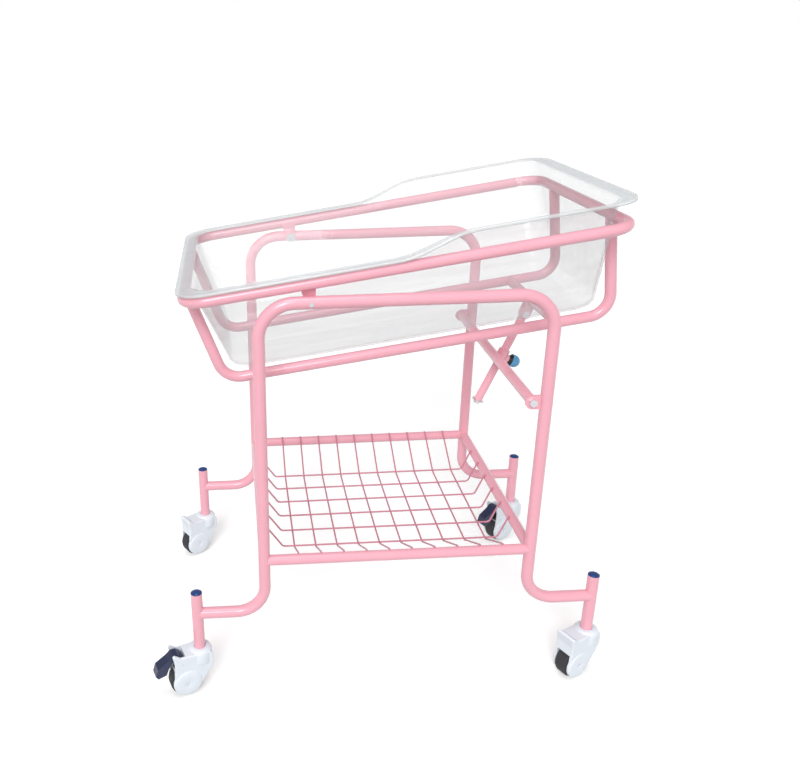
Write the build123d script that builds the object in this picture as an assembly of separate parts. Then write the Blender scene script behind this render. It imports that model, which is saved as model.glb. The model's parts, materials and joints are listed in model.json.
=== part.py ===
from build123d import *
import math
import os

# Hospital bassinet: a clear baby basin on a tilting cradle of bent tube, over a wheeled tube stand.
# Millimetres. Z is up and the floor is Z = 0. X runs along the basin, with the head end at +X.
# Y runs across, with the near side at -Y. Shapes are drawn about the stand's own middle and
# moved together by box_centre when they are written, so that the origin is under the box's centre.
box_centre = (-32.11, -8.66)

# Tube stand
main_tube_d = 22.0
rail_tube_d = 20.0
tube_wall = 1.5
side_y = 235.0
leg_x = 250.0
post_x = 380.0
top_run_z = 786.7
top_bend_r = 62.0
foot_run_z = 173.0
foot_bend_r = 55.0
rail_z = 286.0
post_bottom_z = 94.0
post_top_z = 220.0
cap_dome_h = 4.0
cap_plug_h = 12.0

# Wire basket
wire_d = 3.6
basket_floor_z = 244.0
basket_mid_x = 6.0
basket_floor_y = 137.0
cross_wire_count = 10
cross_wire_span = 384.0
long_wire_count = 6
long_wire_floor_x = 215.0
weld_gap = 0.05

# Cradle, drawn level about its pivot: u along the basin, w square to the ring's plane
tilt_deg = 8.2
pivot_x = -161.6
pivot_z = top_run_z
cradle_tube_d = 20.0
ring_w = 31.3
ring_foot_u = -209.5
ring_head_u = 541.0
ring_half_w = 230.7
ring_corner_r = 42.0
butt_seam = 0.2
lower_run_w = -151.3
lower_run_y = 133.8
foot_bend_u = -171.0
head_bend_u = 536.7
lower_bend_r = 40.0
cross_tube_d = 19.0
cross_tube_u = 438.6
lug_pin_back = 14.607981
lug_pin_drop = 25.682762

# Pivot of the cradle
plate_t = 4.0
plate_gap = 0.3
plate_top_w = 30.0
plate_end_w = 18.0
pivot_bolt_d = 8.0
pivot_head_d = 19.0
pivot_head_h = 5.0
pivot_tail = 1.5
turn_gap = 0.05

# Tilt strut: a rod that slides through a sleeve on a turning cross tube
swivel_x = 226.0
swivel_z = 590.0
swivel_tube_d = 19.0
swivel_end_gap = 0.2
swivel_plug_len = 24.0
bracket_t = 4.0
bracket_r = 13.0
swivel_bolt_d = 8.0
hex_head_flats = 13.0
hex_head_h = 5.3
rod_d = 16.0
rod_wall = 2.0
rod_offset = 20.0
rod_tail = 102.0
sleeve_d = 22.0
sleeve_len = 32.0
eye_d = 20.0
eye_width = 12.0
eye_play = 1.6
lug_pin_d = 8.0
lug_t = 3.0
lug_r = 9.0
lug_side_gap = 0.5
lug_pin_end = 3.0
lug_pin_clip_t = 1.5
stop_d = 24.0
stop_t = 2.0

# Clamp knob on the sleeve, measured outwards from the rod's axis
boss_d = 16.0
boss_end = 15.0
screw_d = 8.0
screw_tip_gap = 0.3
hub_start = 15.5
hub_end = 28.0
hub_d = 20.0
cap_end = 41.0
cap_d = 25.0
grip_count = 6
grip_d = 7.0
grip_depth = 1.2
hub_taper = 4.0

# Basin, in the cradle's level frame
basin_wall = 3.0
basin_bottom_w = -139.5
basin_ring_w = 42.6
basin_bottom_half_w = 127.0
basin_ring_half_w = 216.0
basin_bottom_foot_u = -157.0
basin_bottom_head_u = 522.5
basin_ring_foot_u = -195.5
basin_ring_head_u = 527.0
basin_corner_r = 42.0
basin_edge_r = 22.0
basin_rest_gap = 0.3
basin_high_rim_w = 77.0
basin_rise_foot_u = 150.0
basin_rise_head_u = 285.0
basin_lip_half_w = 241.0
basin_lip_foot_u = -221.0
basin_lip_head_u = 556.0
basin_lip_t = 5.0
basin_lip_corner_r = 52.0
basin_low_rim_w = ring_w + cradle_tube_d / 2 + basin_rest_gap + basin_lip_t
basin_cut_room = 20.0

# Castors, drawn with the swivel axis on Z and the wheel trailing towards -X
wheel_r = 32.5
wheel_trail = 32.0
tyre_width = 26.0
tyre_t = 6.0
tyre_edge_r = 5.0
wheel_recess = 3.0
axle_d = 8.0
cheek_out = 20.0
cheek_in = 15.0
cover_r = 29.0
hood_edge_r = 2.5
wheel_room_r = 35.0
hood_top_z = 93.8
hood_front = 21.0
hood_front_cut = 7.0
hood_shoulder_z = 86.0
hood_skirt_z = 62.0
hood_notch_t = 4.5
hood_notch_z = 22.0
hood_spur_t = 43.0
hood_tip_t = 56.0
hood_tip_z = 103.0
hood_tip_back_t = 59.5
hood_tip_back_z = 100.0
hood_back_t = 56.0
hood_back_z = 80.0
hood_hem_t = 58.0
hood_hem_z = 46.0
hood_cut_t = 90.0
hood_cut_room = 5.0
pedal_slot_t = 34.0
pedal_slot_z = 60.0
pedal_slot_top_z = 110.0
stem_d = 11.0
stem_foot_z = 80.0
stem_len = 54.0
socket_len = 46.0
castor_turns = {
    "near_left": (-1, -1, 0.35),
    "near_right": (1, -1, 0.47),
    "far_left": (-1, 1, 0.58),
    "far_right": (1, 1, 0.45),
}
braked_castors = ("near_left", "far_right")
pedal_pivot_t = 40.0
pedal_pivot_z = 78.0
pedal_pin_d = 5.0
pedal_half_w = 11.0


def save(node, shape):
    """Write one node, moved so that the origin lies under the whole object's box centre."""
    place = Pos(-box_centre[0], -box_centre[1], 0)
    solids = [place * solid for solid in shape.solids()]
    export_step(solids[0] if len(solids) == 1 else Compound(children=solids), f"parts/{node}.step")


def bar(start, end, radius, bore=0.0):
    """Straight round bar between two points, hollow when it has a bore."""
    start, end = Vector(*start), Vector(*end)
    length = (end - start).length
    ends = (Align.CENTER, Align.CENTER, Align.MIN)
    place = Plane(origin=start, z_dir=end - start)
    shape = Cylinder(radius, length, align=ends)
    if bore:
        shape -= Cylinder(bore, length, align=ends)
    return place * shape


def bent_tube(points, radii, diameter, wall=tube_wall):
    """Round tube along straight runs joined by tangent bends; a full wall makes it solid."""
    path = FilletPolyline(*points, radius=radii)
    section = Circle(diameter / 2)
    if wall < diameter / 2:
        section -= Circle(diameter / 2 - wall)
    return sweep(Plane(origin=path @ 0, z_dir=path % 0) * section, path=path)


def main_solid(shape):
    """The largest solid of a cut shape."""
    return max(shape.solids(), key=lambda solid: solid.volume)


def mirrored(shape):
    """A shape and its mirror image across the object's long middle plane."""
    return Compound(children=[*shape.solids(), *mirror(shape, Plane.XZ).solids()])


def side_frame():
    """One bent tube: a foot run, a leg, the top run, the other leg and the other foot run."""
    points = [
        (-post_x, 0, foot_run_z),
        (-leg_x, 0, foot_run_z),
        (-leg_x, 0, top_run_z),
        (leg_x, 0, top_run_z),
        (leg_x, 0, foot_run_z),
        (post_x, 0, foot_run_z),
    ]
    radii = [foot_bend_r, top_bend_r, top_bend_r, foot_bend_r]
    tube = bent_tube(points, radii, main_tube_d)
    for side in (-1, 1):
        tube -= Pos(side * post_x, 0, foot_run_z) * Cylinder(main_tube_d / 2, 2 * main_tube_d)
    bolt_hole_r = pivot_bolt_d / 2 + turn_gap
    tube -= bar((pivot_x, -main_tube_d, pivot_z), (pivot_x, main_tube_d, pivot_z), bolt_hole_r)
    return main_solid(tube)


def rail_cores():
    """The full round outlines of the four rails: near, far, foot and head."""
    along = [((-leg_x, y, rail_z), (leg_x, y, rail_z)) for y in (-side_y, side_y)]
    across = [((x, -side_y, rail_z), (x, side_y, rail_z)) for x in (-leg_x, leg_x)]
    return along + across


def rails():
    """The four level rails that the basket hangs from, coped to the legs and to each other."""
    legs = [
        Pos(x * leg_x, y * side_y, rail_z) * Cylinder(main_tube_d / 2, 3 * main_tube_d)
        for x in (-1, 1)
        for y in (-1, 1)
    ]
    bore = rail_tube_d / 2 - tube_wall
    cores = rail_cores()
    shapes = {}
    for name, core in zip(("near_rail", "far_rail", "foot_rail", "head_rail"), cores):
        rail = bar(*core, rail_tube_d / 2, bore)
        copes = legs + [bar(*other, rail_tube_d / 2) for other in cores[:2] if core not in cores[:2]]
        for cope in copes:
            rail -= cope
        shapes[name] = main_solid(rail)
    return shapes


def wire_basket():
    """Crossed wires that slope down from the rails to a flat floor, welded where they cross."""
    wires = []
    drop = wire_d / 2
    for index in range(cross_wire_count):
        x = basket_mid_x - cross_wire_span / 2 + index * cross_wire_span / (cross_wire_count - 1)
        profile = [
            (x, -side_y, rail_z + drop),
            (x, -basket_floor_y, basket_floor_z),
            (x, basket_floor_y, basket_floor_z),
            (x, side_y, rail_z + drop),
        ]
        wires.append(mitred_wire(profile))
    above = basket_floor_z + wire_d + weld_gap
    for index in range(long_wire_count):
        y = -basket_floor_y + index * 2 * basket_floor_y / (long_wire_count - 1)
        profile = [
            (-leg_x, y, rail_z + drop),
            (basket_mid_x - long_wire_floor_x, y, above),
            (basket_mid_x + long_wire_floor_x, y, above),
            (leg_x, y, rail_z + drop),
        ]
        wires.append(mitred_wire(profile))
    trimmed = []
    for wire in wires:
        for core in rail_cores():
            wire -= bar(*core, rail_tube_d / 2 + weld_gap)
        trimmed.append(main_solid(wire))
    return Compound(children=trimmed)


def mitred_wire(points):
    """Wire along straight runs with plain mitred corners."""
    path = Polyline(*points)
    section = Plane(origin=path @ 0, z_dir=path % 0) * Circle(wire_d / 2)
    return sweep(section, path=path, transition=Transition.RIGHT)


def castor_posts():
    """Four upright posts with a stem socket in each foot, and a domed plug in each top."""
    posts, sockets, caps = {}, [], []
    bore = main_tube_d / 2 - tube_wall
    for name, (side_x, side_s, _) in castor_turns.items():
        x, y = side_x * post_x, side_s * side_y
        posts[name] = bar((x, y, post_bottom_z), (x, y, post_top_z), main_tube_d / 2, bore)
        foot, top = (x, y, post_bottom_z), (x, y, post_bottom_z + socket_len)
        sockets.append(bar(foot, top, bore, stem_d / 2 + turn_gap))
        caps.append(Pos(x, y, post_top_z) * post_cap(bore))
    return posts, Compound(children=sockets), Compound(children=caps)


def post_cap(bore):
    """Domed plug that closes a post's open top."""
    rim_r = main_tube_d / 2
    dome_r = (rim_r**2 + cap_dome_h**2) / (2 * cap_dome_h)
    dome = Pos(0, 0, cap_dome_h - dome_r) * Sphere(dome_r)
    dome &= Cylinder(rim_r, cap_dome_h, align=(Align.CENTER, Align.CENTER, Align.MIN))
    plug = Cylinder(bore, cap_plug_h, align=(Align.CENTER, Align.CENTER, Align.MAX))
    return main_solid(dome + plug)


def cradle_place():
    """Location that tips the level cradle head up about its pivot."""
    return Location((pivot_x, 0, pivot_z), (0, -tilt_deg, 0))


def rounded_band(half_w, ends_u, corner_r):
    """Rounded rectangle in the cradle's level plane."""
    length = ends_u[1] - ends_u[0]
    return Pos((ends_u[0] + ends_u[1]) / 2, 0) * RectangleRounded(length, 2 * half_w, corner_r)


def cradle_ring(wall=tube_wall):
    """Closed rounded ring of tube, butt-welded in the middle of its far side."""
    middle = (ring_foot_u + ring_head_u) / 2
    points = [
        (middle + butt_seam / 2, ring_half_w, ring_w),
        (ring_head_u, ring_half_w, ring_w),
        (ring_head_u, -ring_half_w, ring_w),
        (ring_foot_u, -ring_half_w, ring_w),
        (ring_foot_u, ring_half_w, ring_w),
        (middle - butt_seam / 2, ring_half_w, ring_w),
    ]
    return bent_tube(points, [ring_corner_r] * 4, cradle_tube_d, wall)


def lower_tube(side, ring):
    """Upright U tube that hangs from the ring's two ends and runs level beside the basin's floor."""
    y = side * lower_run_y
    points = [
        (ring_foot_u, y, ring_w),
        (foot_bend_u, y, lower_run_w),
        (head_bend_u, y, lower_run_w),
        (ring_head_u, y, ring_w),
    ]
    return main_solid(bent_tube(points, [lower_bend_r] * 2, cradle_tube_d) - ring)


def cradle_cross_tube():
    """Short tube between the two lower runs, which carries the strut's lug."""
    ends = [(cross_tube_u, side * lower_run_y, lower_run_w) for side in (-1, 1)]
    tube = bar(ends[0], ends[1], cross_tube_d / 2, cross_tube_d / 2 - tube_wall)
    for end in ends:
        before, after = [(end[0] + step * main_tube_d, end[1], end[2]) for step in (-1, 1)]
        tube -= bar(before, after, cradle_tube_d / 2)
    return main_solid(tube)


def pivot_plates(ring):
    """Two tapering plates welded under the ring, one beside each top run."""
    inner_y = side_y - main_tube_d / 2 - plate_gap - plate_t
    eye = Pos(0, 0) * Circle(plate_end_w / 2)
    web = Polygon(
        (-plate_end_w / 2, 0),
        (plate_end_w / 2, 0),
        (plate_top_w / 2, ring_w),
        (-plate_top_w / 2, ring_w),
        align=None,
    )
    outline = eye + web - Circle(pivot_bolt_d / 2 + turn_gap)
    plate = extrude(Plane.XZ * outline, amount=plate_t)
    return mirrored(main_solid(Pos(0, -inner_y, 0) * plate - ring))


def pivot_bolts():
    """Two bolts along Y, with a round head inside each plate and a domed end outside."""
    plate_inner_y = side_y - main_tube_d / 2 - plate_gap - plate_t
    outer_y = side_y + main_tube_d / 2
    centre = (pivot_x, pivot_z)
    head_in = (centre[0], -plate_inner_y + pivot_head_h, centre[1])
    head_out = (centre[0], -plate_inner_y, centre[1])
    tail = (centre[0], -outer_y - pivot_tail, centre[1])
    bolt = bar(head_in, head_out, pivot_head_d / 2) + bar(head_out, tail, pivot_bolt_d / 2)
    return mirrored(main_solid(bolt))


def leg_brackets():
    """Round-ended plates on the head legs that carry the swivel tube."""
    outline = Pos(swivel_x, swivel_z) * Circle(bracket_r)
    arm_len = leg_x - swivel_x
    outline += Pos(swivel_x + arm_len / 2, swivel_z) * Rectangle(arm_len, 2 * bracket_r)
    outline -= Pos(swivel_x, swivel_z) * Circle(swivel_bolt_d / 2 + turn_gap)
    plate = Pos(0, -side_y + bracket_t / 2, 0) * extrude(Plane.XZ * outline, amount=bracket_t)
    plate -= Pos(leg_x, -side_y, swivel_z) * Cylinder(main_tube_d / 2, 4 * bracket_r)
    return mirrored(main_solid(plate))


def swivel_tube():
    """Cross tube that turns on its two end bolts."""
    end_y = side_y - bracket_t / 2 - swivel_end_gap
    start, end = (swivel_x, -end_y, swivel_z), (swivel_x, end_y, swivel_z)
    tube = bar(start, end, swivel_tube_d / 2)
    bore_y = end_y - swivel_plug_len
    tube -= bar((swivel_x, -bore_y, swivel_z), (swivel_x, bore_y, swivel_z), swivel_tube_d / 2 - tube_wall)
    tube -= bar(start, end, swivel_bolt_d / 2)
    return main_solid(tube)


def swivel_bolts():
    """Two hexagon-headed bolts through the brackets into the swivel tube's ends."""
    outer_y = side_y + bracket_t / 2
    inner_y = side_y - bracket_t / 2 - swivel_end_gap - swivel_plug_len
    shank = bar((swivel_x, -inner_y, swivel_z), (swivel_x, -outer_y, swivel_z), swivel_bolt_d / 2)
    head_plane = Plane(origin=(swivel_x, -outer_y, swivel_z), z_dir=(0, -1, 0))
    head = head_plane * extrude(RegularPolygon(hex_head_flats / 2, 6, major_radius=False), hex_head_h)
    return mirrored(main_solid(shank + head))


def lug_pin_place():
    """Centre of the lug's pin in the rest pose, below the cross tube on its foot side."""
    in_cradle = Pos(cross_tube_u - lug_pin_back, 0, lower_run_w - lug_pin_drop)
    return (cradle_place() * in_cradle).position


def rod_reach():
    """Length along the rod from the sleeve's centre to the lug's pin."""
    pin = lug_pin_place()
    return math.sqrt((pin.X - swivel_x) ** 2 + (pin.Z - swivel_z) ** 2 - rod_offset**2)


def rod_frame():
    """Plane at the sleeve's centre: x out along the knob, z up along the rod to the pin."""
    pin = lug_pin_place()
    lean = math.atan2(pin.Z - swivel_z, pin.X - swivel_x) + math.atan2(rod_offset, rod_reach())
    along = Vector(math.cos(lean), 0, math.sin(lean))
    outward = Vector(math.sin(lean), 0, -math.cos(lean))
    centre = Vector(swivel_x, 0, swivel_z) + outward * rod_offset
    return Plane(origin=centre, x_dir=outward, z_dir=along)


def rod_sleeve():
    """Guide sleeve welded beside the swivel tube, with a threaded boss for the clamp screw."""
    sleeve = Cylinder(sleeve_d / 2, sleeve_len)
    sleeve += bar((0, 0, 0), (boss_end, 0, 0), boss_d / 2)
    sleeve -= Cylinder(rod_d / 2 + turn_gap, sleeve_len)
    sleeve -= bar((0, 0, 0), (boss_end, 0, 0), screw_d / 2 + turn_gap)
    tube = bar((swivel_x, -sleeve_d, swivel_z), (swivel_x, sleeve_d, swivel_z), swivel_tube_d / 2)
    return main_solid(rod_frame() * sleeve - tube)


def clamp_knob():
    """Screw, lobed hub and domed cap that turn together to clamp the rod."""
    tip = rod_d / 2 + screw_tip_gap
    screw = bar((tip, 0, 0), (hub_start, 0, 0), screw_d / 2)
    hub = Plane(origin=(hub_start, 0, 0), z_dir=(1, 0, 0)) * knob_hub()
    cap = Plane(origin=(hub_end, 0, 0), z_dir=(1, 0, 0)) * knob_cap()
    return [main_solid(rod_frame() * shape) for shape in (screw, hub, cap)]


def knob_hub():
    """Tapering hub that widens towards the cap."""
    depth = hub_end - hub_start
    ends = (Align.CENTER, Align.CENTER, Align.MIN)
    return Cone((hub_d - hub_taper) / 2, (hub_d + hub_taper) / 2, depth, align=ends)


def knob_cap():
    """Domed grip with shallow flutes round its rim."""
    depth = cap_end - hub_end
    ends = (Align.CENTER, Align.CENTER, Align.MIN)
    dome_r = ((cap_d / 2) ** 2 + depth**2) / (2 * depth)
    cap = Cylinder(cap_d / 2, depth, align=ends)
    cap &= Pos(0, 0, depth - dome_r) * Sphere(dome_r)
    for index in range(grip_count):
        angle = 2 * math.pi * index / grip_count
        reach = cap_d / 2 + grip_d / 2 - grip_depth
        flute = Cylinder(grip_d / 2, depth, align=ends)
        cap -= Pos(reach * math.cos(angle), reach * math.sin(angle), 0) * flute
    return cap


def tilt_rod():
    """Sliding rod with an eye at its top for the cradle's lug."""
    tail, neck = -rod_tail, rod_reach()
    rod = bar((0, 0, tail), (0, 0, neck), rod_d / 2)
    rod -= bar((0, 0, tail), (0, 0, neck - eye_d), rod_d / 2 - rod_wall)
    eye_ends = (0, -eye_width / 2, neck), (0, eye_width / 2, neck)
    rod -= bar((0, -rod_d, neck), (0, rod_d, neck), eye_d / 2)
    rod += bar(*eye_ends, eye_d / 2)
    rod -= bar(*eye_ends, lug_pin_d / 2 + eye_play)
    return main_solid(rod_frame() * rod)


def rod_stop():
    """Washer and screw that close the rod's lower end."""
    tail = -rod_tail
    stop = bar((0, 0, tail - stop_t), (0, 0, tail), stop_d / 2)
    stop += bar((0, 0, tail), (0, 0, tail + cap_plug_h), rod_d / 2 - rod_wall)
    stop += bar((0, 0, tail - stop_t - hex_head_h), (0, 0, tail - stop_t), hex_head_flats / 2)
    return main_solid(rod_frame() * stop)


def lug_points():
    """Centres of the lug's pin and of the cross tube it hangs from, in the rest pose."""
    tube = cradle_place() * Pos(cross_tube_u, 0, lower_run_w)
    return lug_pin_place(), tube.position


def rod_lug():
    """Two ears under the cross tube, one each side of the rod's eye."""
    pin, tube = lug_points()
    outline = make_hull(
        (Pos(pin.X, pin.Z) * Circle(lug_r)).edges() + (Pos(tube.X, tube.Z) * Circle(lug_r)).edges()
    )
    outline -= Pos(pin.X, pin.Z) * Circle(lug_pin_d / 2)
    outline -= Pos(tube.X, tube.Z) * Circle(cross_tube_d / 2)
    near_y = eye_width / 2 + lug_side_gap
    ear = Pos(0, -near_y, 0) * extrude(Plane.XZ * outline, amount=lug_t)
    return mirrored(main_solid(ear))


def rod_pin():
    """Headed pin through the lug's ears and the rod's eye."""
    pin, _ = lug_points()
    outer_y = eye_width / 2 + lug_side_gap + lug_t
    far_y = outer_y + lug_pin_end
    shank = bar((pin.X, -outer_y, pin.Z), (pin.X, far_y, pin.Z), lug_pin_d / 2)
    head = bar((pin.X, -far_y, pin.Z), (pin.X, -outer_y, pin.Z), hex_head_flats / 2)
    clip_y = outer_y + lug_pin_clip_t
    clip = bar((pin.X, outer_y, pin.Z), (pin.X, clip_y, pin.Z), hex_head_flats / 2)
    return main_solid(shank + head + clip)


def tapered_tub(inset, floor_w, top_w):
    """Tub shape that narrows downwards; inset moves its walls inwards."""
    rise = basin_ring_w - basin_bottom_w

    def section(w):
        share = (w - basin_bottom_w) / rise
        half_w = basin_bottom_half_w + (basin_ring_half_w - basin_bottom_half_w) * share
        foot_u = basin_bottom_foot_u + (basin_ring_foot_u - basin_bottom_foot_u) * share
        head_u = basin_bottom_head_u + (basin_ring_head_u - basin_bottom_head_u) * share
        ends_in = (foot_u + inset, head_u - inset)
        band = rounded_band(half_w - inset, ends_in, basin_corner_r - inset)
        return Pos(0, 0, w) * band

    return loft([section(floor_w), section(top_w)])


def rim_profile(offset):
    """Side view of everything below the rim line, which steps up towards the head end."""
    start_u, end_u = basin_lip_foot_u - basin_cut_room, basin_lip_head_u + basin_cut_room
    low, high = basin_low_rim_w + offset, basin_high_rim_w + offset
    below = basin_bottom_w - basin_cut_room
    flow = (basin_rise_head_u - basin_rise_foot_u) / 2.4
    step = Bezier(
        (basin_rise_foot_u, low),
        (basin_rise_foot_u + flow, low),
        (basin_rise_head_u - flow, high),
        (basin_rise_head_u, high),
    )
    rest = Polyline(
        (basin_rise_head_u, high),
        (end_u, high),
        (end_u, below),
        (start_u, below),
        (start_u, low),
        (basin_rise_foot_u, low),
    )
    side = Plane.XZ * make_face([*step.edges(), *rest.edges()])
    return extrude(side, amount=basin_lip_half_w + basin_cut_room, both=True)


def basin():
    """Clear tub: thin walls, a lip that rests on the ring and higher sides at the head end."""
    top_w = basin_high_rim_w + basin_cut_room
    outer = tapered_tub(0, basin_bottom_w, top_w)
    floor_edges = outer.faces().sort_by(Axis.Z)[0].edges()
    outer = fillet(floor_edges, basin_edge_r)
    inner = tapered_tub(basin_wall, basin_bottom_w + basin_wall, top_w + basin_wall / 3)
    inner = fillet(inner.faces().sort_by(Axis.Z)[0].edges(), basin_edge_r - basin_wall)
    below_rim = rim_profile(0)
    lip_ends = (basin_lip_foot_u, basin_lip_head_u)
    band = extrude(rounded_band(basin_lip_half_w, lip_ends, basin_lip_corner_r), top_w)
    lip = (band & below_rim) - rim_profile(-basin_lip_t)
    shell = (outer & below_rim) + lip
    return main_solid(shell - inner)


def castor_hood(braked):
    """Moulded hood: two cheeks that cover the wheel's sides under a swivel housing."""
    outline = Pos(-wheel_trail, wheel_r) * Circle(cover_r)
    outline += Polygon(
        (hood_front, hood_skirt_z),
        (hood_front, hood_shoulder_z),
        (hood_front - hood_front_cut, hood_top_z),
        (-hood_spur_t, hood_top_z),
        (-hood_tip_t, hood_tip_z),
        (-hood_tip_back_t, hood_tip_back_z),
        (-hood_back_t, hood_back_z),
        (-hood_hem_t, hood_hem_z),
        (-wheel_trail, wheel_r),
        (-hood_notch_t, hood_notch_z),
        align=None,
    )
    hood = extrude(Plane.XZ * outline, amount=cheek_out, both=True)
    hood = fillet(hood.faces().filter_by(Axis.Y).edges(), hood_edge_r)
    room = Pos(-wheel_trail, wheel_r) * Circle(wheel_room_r)
    room += Polygon(
        (-wheel_trail, wheel_r),
        (hood_front + hood_cut_room, -hood_cut_room),
        (-hood_cut_t, -hood_cut_room),
        (-hood_cut_t, hood_skirt_z),
        (-hood_hem_t, hood_skirt_z),
        align=None,
    )
    if braked:
        slot = Polygon(
            (-pedal_slot_t, pedal_slot_z),
            (-pedal_slot_t, pedal_slot_top_z),
            (-hood_cut_t, pedal_slot_top_z),
            (-hood_cut_t, pedal_slot_z),
            align=None,
        )
        room += slot
    hood -= extrude(Plane.XZ * room, amount=cheek_in, both=True)
    axle_start, axle_end = (-wheel_trail, -cheek_out, wheel_r), (-wheel_trail, cheek_out, wheel_r)
    hood -= bar(axle_start, axle_end, axle_d / 2)
    hood -= bar((0, 0, stem_foot_z), (0, 0, 2 * hood_top_z), stem_d / 2)
    if braked:
        hood -= pedal_pin()
    return main_solid(hood)


def pedal_pin():
    """Pin across the hood that the brake pedal turns on."""
    ends = [(-pedal_pivot_t, side * cheek_out, pedal_pivot_z) for side in (-1, 1)]
    return bar(*ends, pedal_pin_d / 2)


def brake_pedal():
    """Arched pedal that comes out over the back of the hood and down to a foot pad."""
    outline = Polygon(
        (-36, 74),
        (-38, 88),
        (-47, 97),
        (-57, 97),
        (-68, 88),
        (-88, 76),
        (-93, 60),
        (-88, 54),
        (-72, 58),
        (-67, 70),
        (-60, 82),
        (-51, 86),
        (-45, 80),
        (-44, 74),
        align=None,
    )
    pedal = extrude(Plane.XZ * outline, amount=pedal_half_w, both=True)
    pivot = (-pedal_pivot_t, -pedal_half_w, pedal_pivot_z), (-pedal_pivot_t, pedal_half_w, pedal_pivot_z)
    return main_solid(pedal - bar(*pivot, pedal_pin_d / 2 + turn_gap))


def castor(name):
    """Nodes of one castor, standing on the floor under its post."""
    axle_ends = [(-wheel_trail, side * cheek_out, wheel_r) for side in (-1, 1)]
    half = tyre_width / 2
    rim_r = wheel_r - tyre_t
    ends = [(-wheel_trail, side * half, wheel_r) for side in (-1, 1)]
    tyre = bar(*ends, wheel_r)
    tyre = fillet(tyre.edges().filter_by(GeomType.CIRCLE), tyre_edge_r) - bar(*ends, rim_r)
    wheel = bar(*ends, rim_r, axle_d / 2 + turn_gap)
    for side in (-1, 1):
        face = (-wheel_trail, side * half, wheel_r)
        depth = (-wheel_trail, side * (half - wheel_recess), wheel_r)
        wheel -= bar(face, depth, rim_r - 4) - bar(face, depth, axle_d)
    braked = name in braked_castors
    pieces = {
        "hood": castor_hood(braked),
        "stem": bar((0, 0, stem_foot_z), (0, 0, stem_foot_z + stem_len), stem_d / 2),
        "axle": bar(*axle_ends, axle_d / 2),
        "wheel": wheel,
        "tyre": tyre,
    }
    if braked:
        pieces["pedal"] = brake_pedal()
        pieces["pedal_pin"] = pedal_pin()
    side_x, side_s, turn = castor_turns[name]
    place = Location((side_x * post_x, side_s * side_y, 0), (0, 0, math.degrees(turn)))
    return {f"{name}_castor_{piece}": place * shape for piece, shape in pieces.items()}


os.makedirs("parts", exist_ok=True)

frame = side_frame()
save("near_side_frame", Pos(0, -side_y, 0) * frame)
save("far_side_frame", Pos(0, side_y, 0) * frame)
for rail_name, rail_shape in rails().items():
    save(rail_name, rail_shape)
save("wire_basket", wire_basket())

post_shapes, socket_group, cap_group = castor_posts()
for corner, post in post_shapes.items():
    save(f"{corner}_post", post)
save("stem_sockets", socket_group)
save("post_caps", cap_group)

tilted = cradle_place()
ring_outer = cradle_ring(wall=cradle_tube_d / 2)
save("cradle_ring", tilted * cradle_ring())
save("near_lower_tube", tilted * lower_tube(-1, ring_outer))
save("far_lower_tube", tilted * lower_tube(1, ring_outer))
save("cradle_cross_tube", tilted * cradle_cross_tube())
save("pivot_plates", tilted * pivot_plates(ring_outer))
save("pivot_bolts", pivot_bolts())
save("rod_lug", rod_lug())
save("rod_pin", rod_pin())

save("leg_brackets", leg_brackets())
save("swivel_tube", swivel_tube())
save("swivel_bolts", swivel_bolts())
save("rod_sleeve", rod_sleeve())
for knob_name, knob_shape in zip(("knob_screw", "knob_hub", "knob_cap"), clamp_knob()):
    save(knob_name, knob_shape)
save("tilt_rod", tilt_rod())
save("rod_stop", rod_stop())

save("basin", tilted * basin())

for corner in castor_turns:
    for piece_name, piece_shape in castor(corner).items():
        save(piece_name, piece_shape)
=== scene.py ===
"""Hospital bassinet, finished for the eye.

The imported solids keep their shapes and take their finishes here. Built anew, for surfaces finer than
the solids have: the clear basin, the wires of the basket, the round mouldings on the castors' hoods
and the skirt of the clamp knob's cap.
"""

from __future__ import annotations

import json
import logging
import math
from dataclasses import dataclass
from enum import Enum

import bmesh
import bpy
from mathutils import Matrix, Vector

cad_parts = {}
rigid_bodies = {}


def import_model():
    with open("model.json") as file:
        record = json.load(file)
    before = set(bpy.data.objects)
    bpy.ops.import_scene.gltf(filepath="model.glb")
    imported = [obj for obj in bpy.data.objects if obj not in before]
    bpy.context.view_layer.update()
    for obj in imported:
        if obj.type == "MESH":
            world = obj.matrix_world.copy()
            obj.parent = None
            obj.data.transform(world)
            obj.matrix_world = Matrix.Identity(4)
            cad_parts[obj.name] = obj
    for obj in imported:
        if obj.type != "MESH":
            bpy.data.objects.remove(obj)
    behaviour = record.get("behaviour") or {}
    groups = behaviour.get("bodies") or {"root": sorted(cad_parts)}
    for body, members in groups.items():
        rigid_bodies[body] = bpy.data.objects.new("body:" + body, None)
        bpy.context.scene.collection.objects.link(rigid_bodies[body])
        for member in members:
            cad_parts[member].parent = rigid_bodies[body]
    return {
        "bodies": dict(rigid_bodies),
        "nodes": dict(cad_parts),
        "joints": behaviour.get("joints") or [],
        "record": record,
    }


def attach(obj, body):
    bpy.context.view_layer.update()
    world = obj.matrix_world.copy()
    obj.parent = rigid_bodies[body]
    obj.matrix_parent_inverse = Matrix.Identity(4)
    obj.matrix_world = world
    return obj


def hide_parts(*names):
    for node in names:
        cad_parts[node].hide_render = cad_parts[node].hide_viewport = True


LOG = logging.getLogger("bassinet")

IMAGE_SIZE = (800, 766)
MM = 0.001
QUARTER = math.pi / 2

# Faces that meet at a flatter angle than this are shaded as one surface.
SOLID_SHARP_DEG = 32.0
TURNED_SHARP_DEG = 40.0

# Sockets of a Mix node that is set to colours.
MIX_FACTOR, MIX_A, MIX_B, MIX_RESULT = 0, 6, 7, 2

Place = tuple[float, float]


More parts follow.
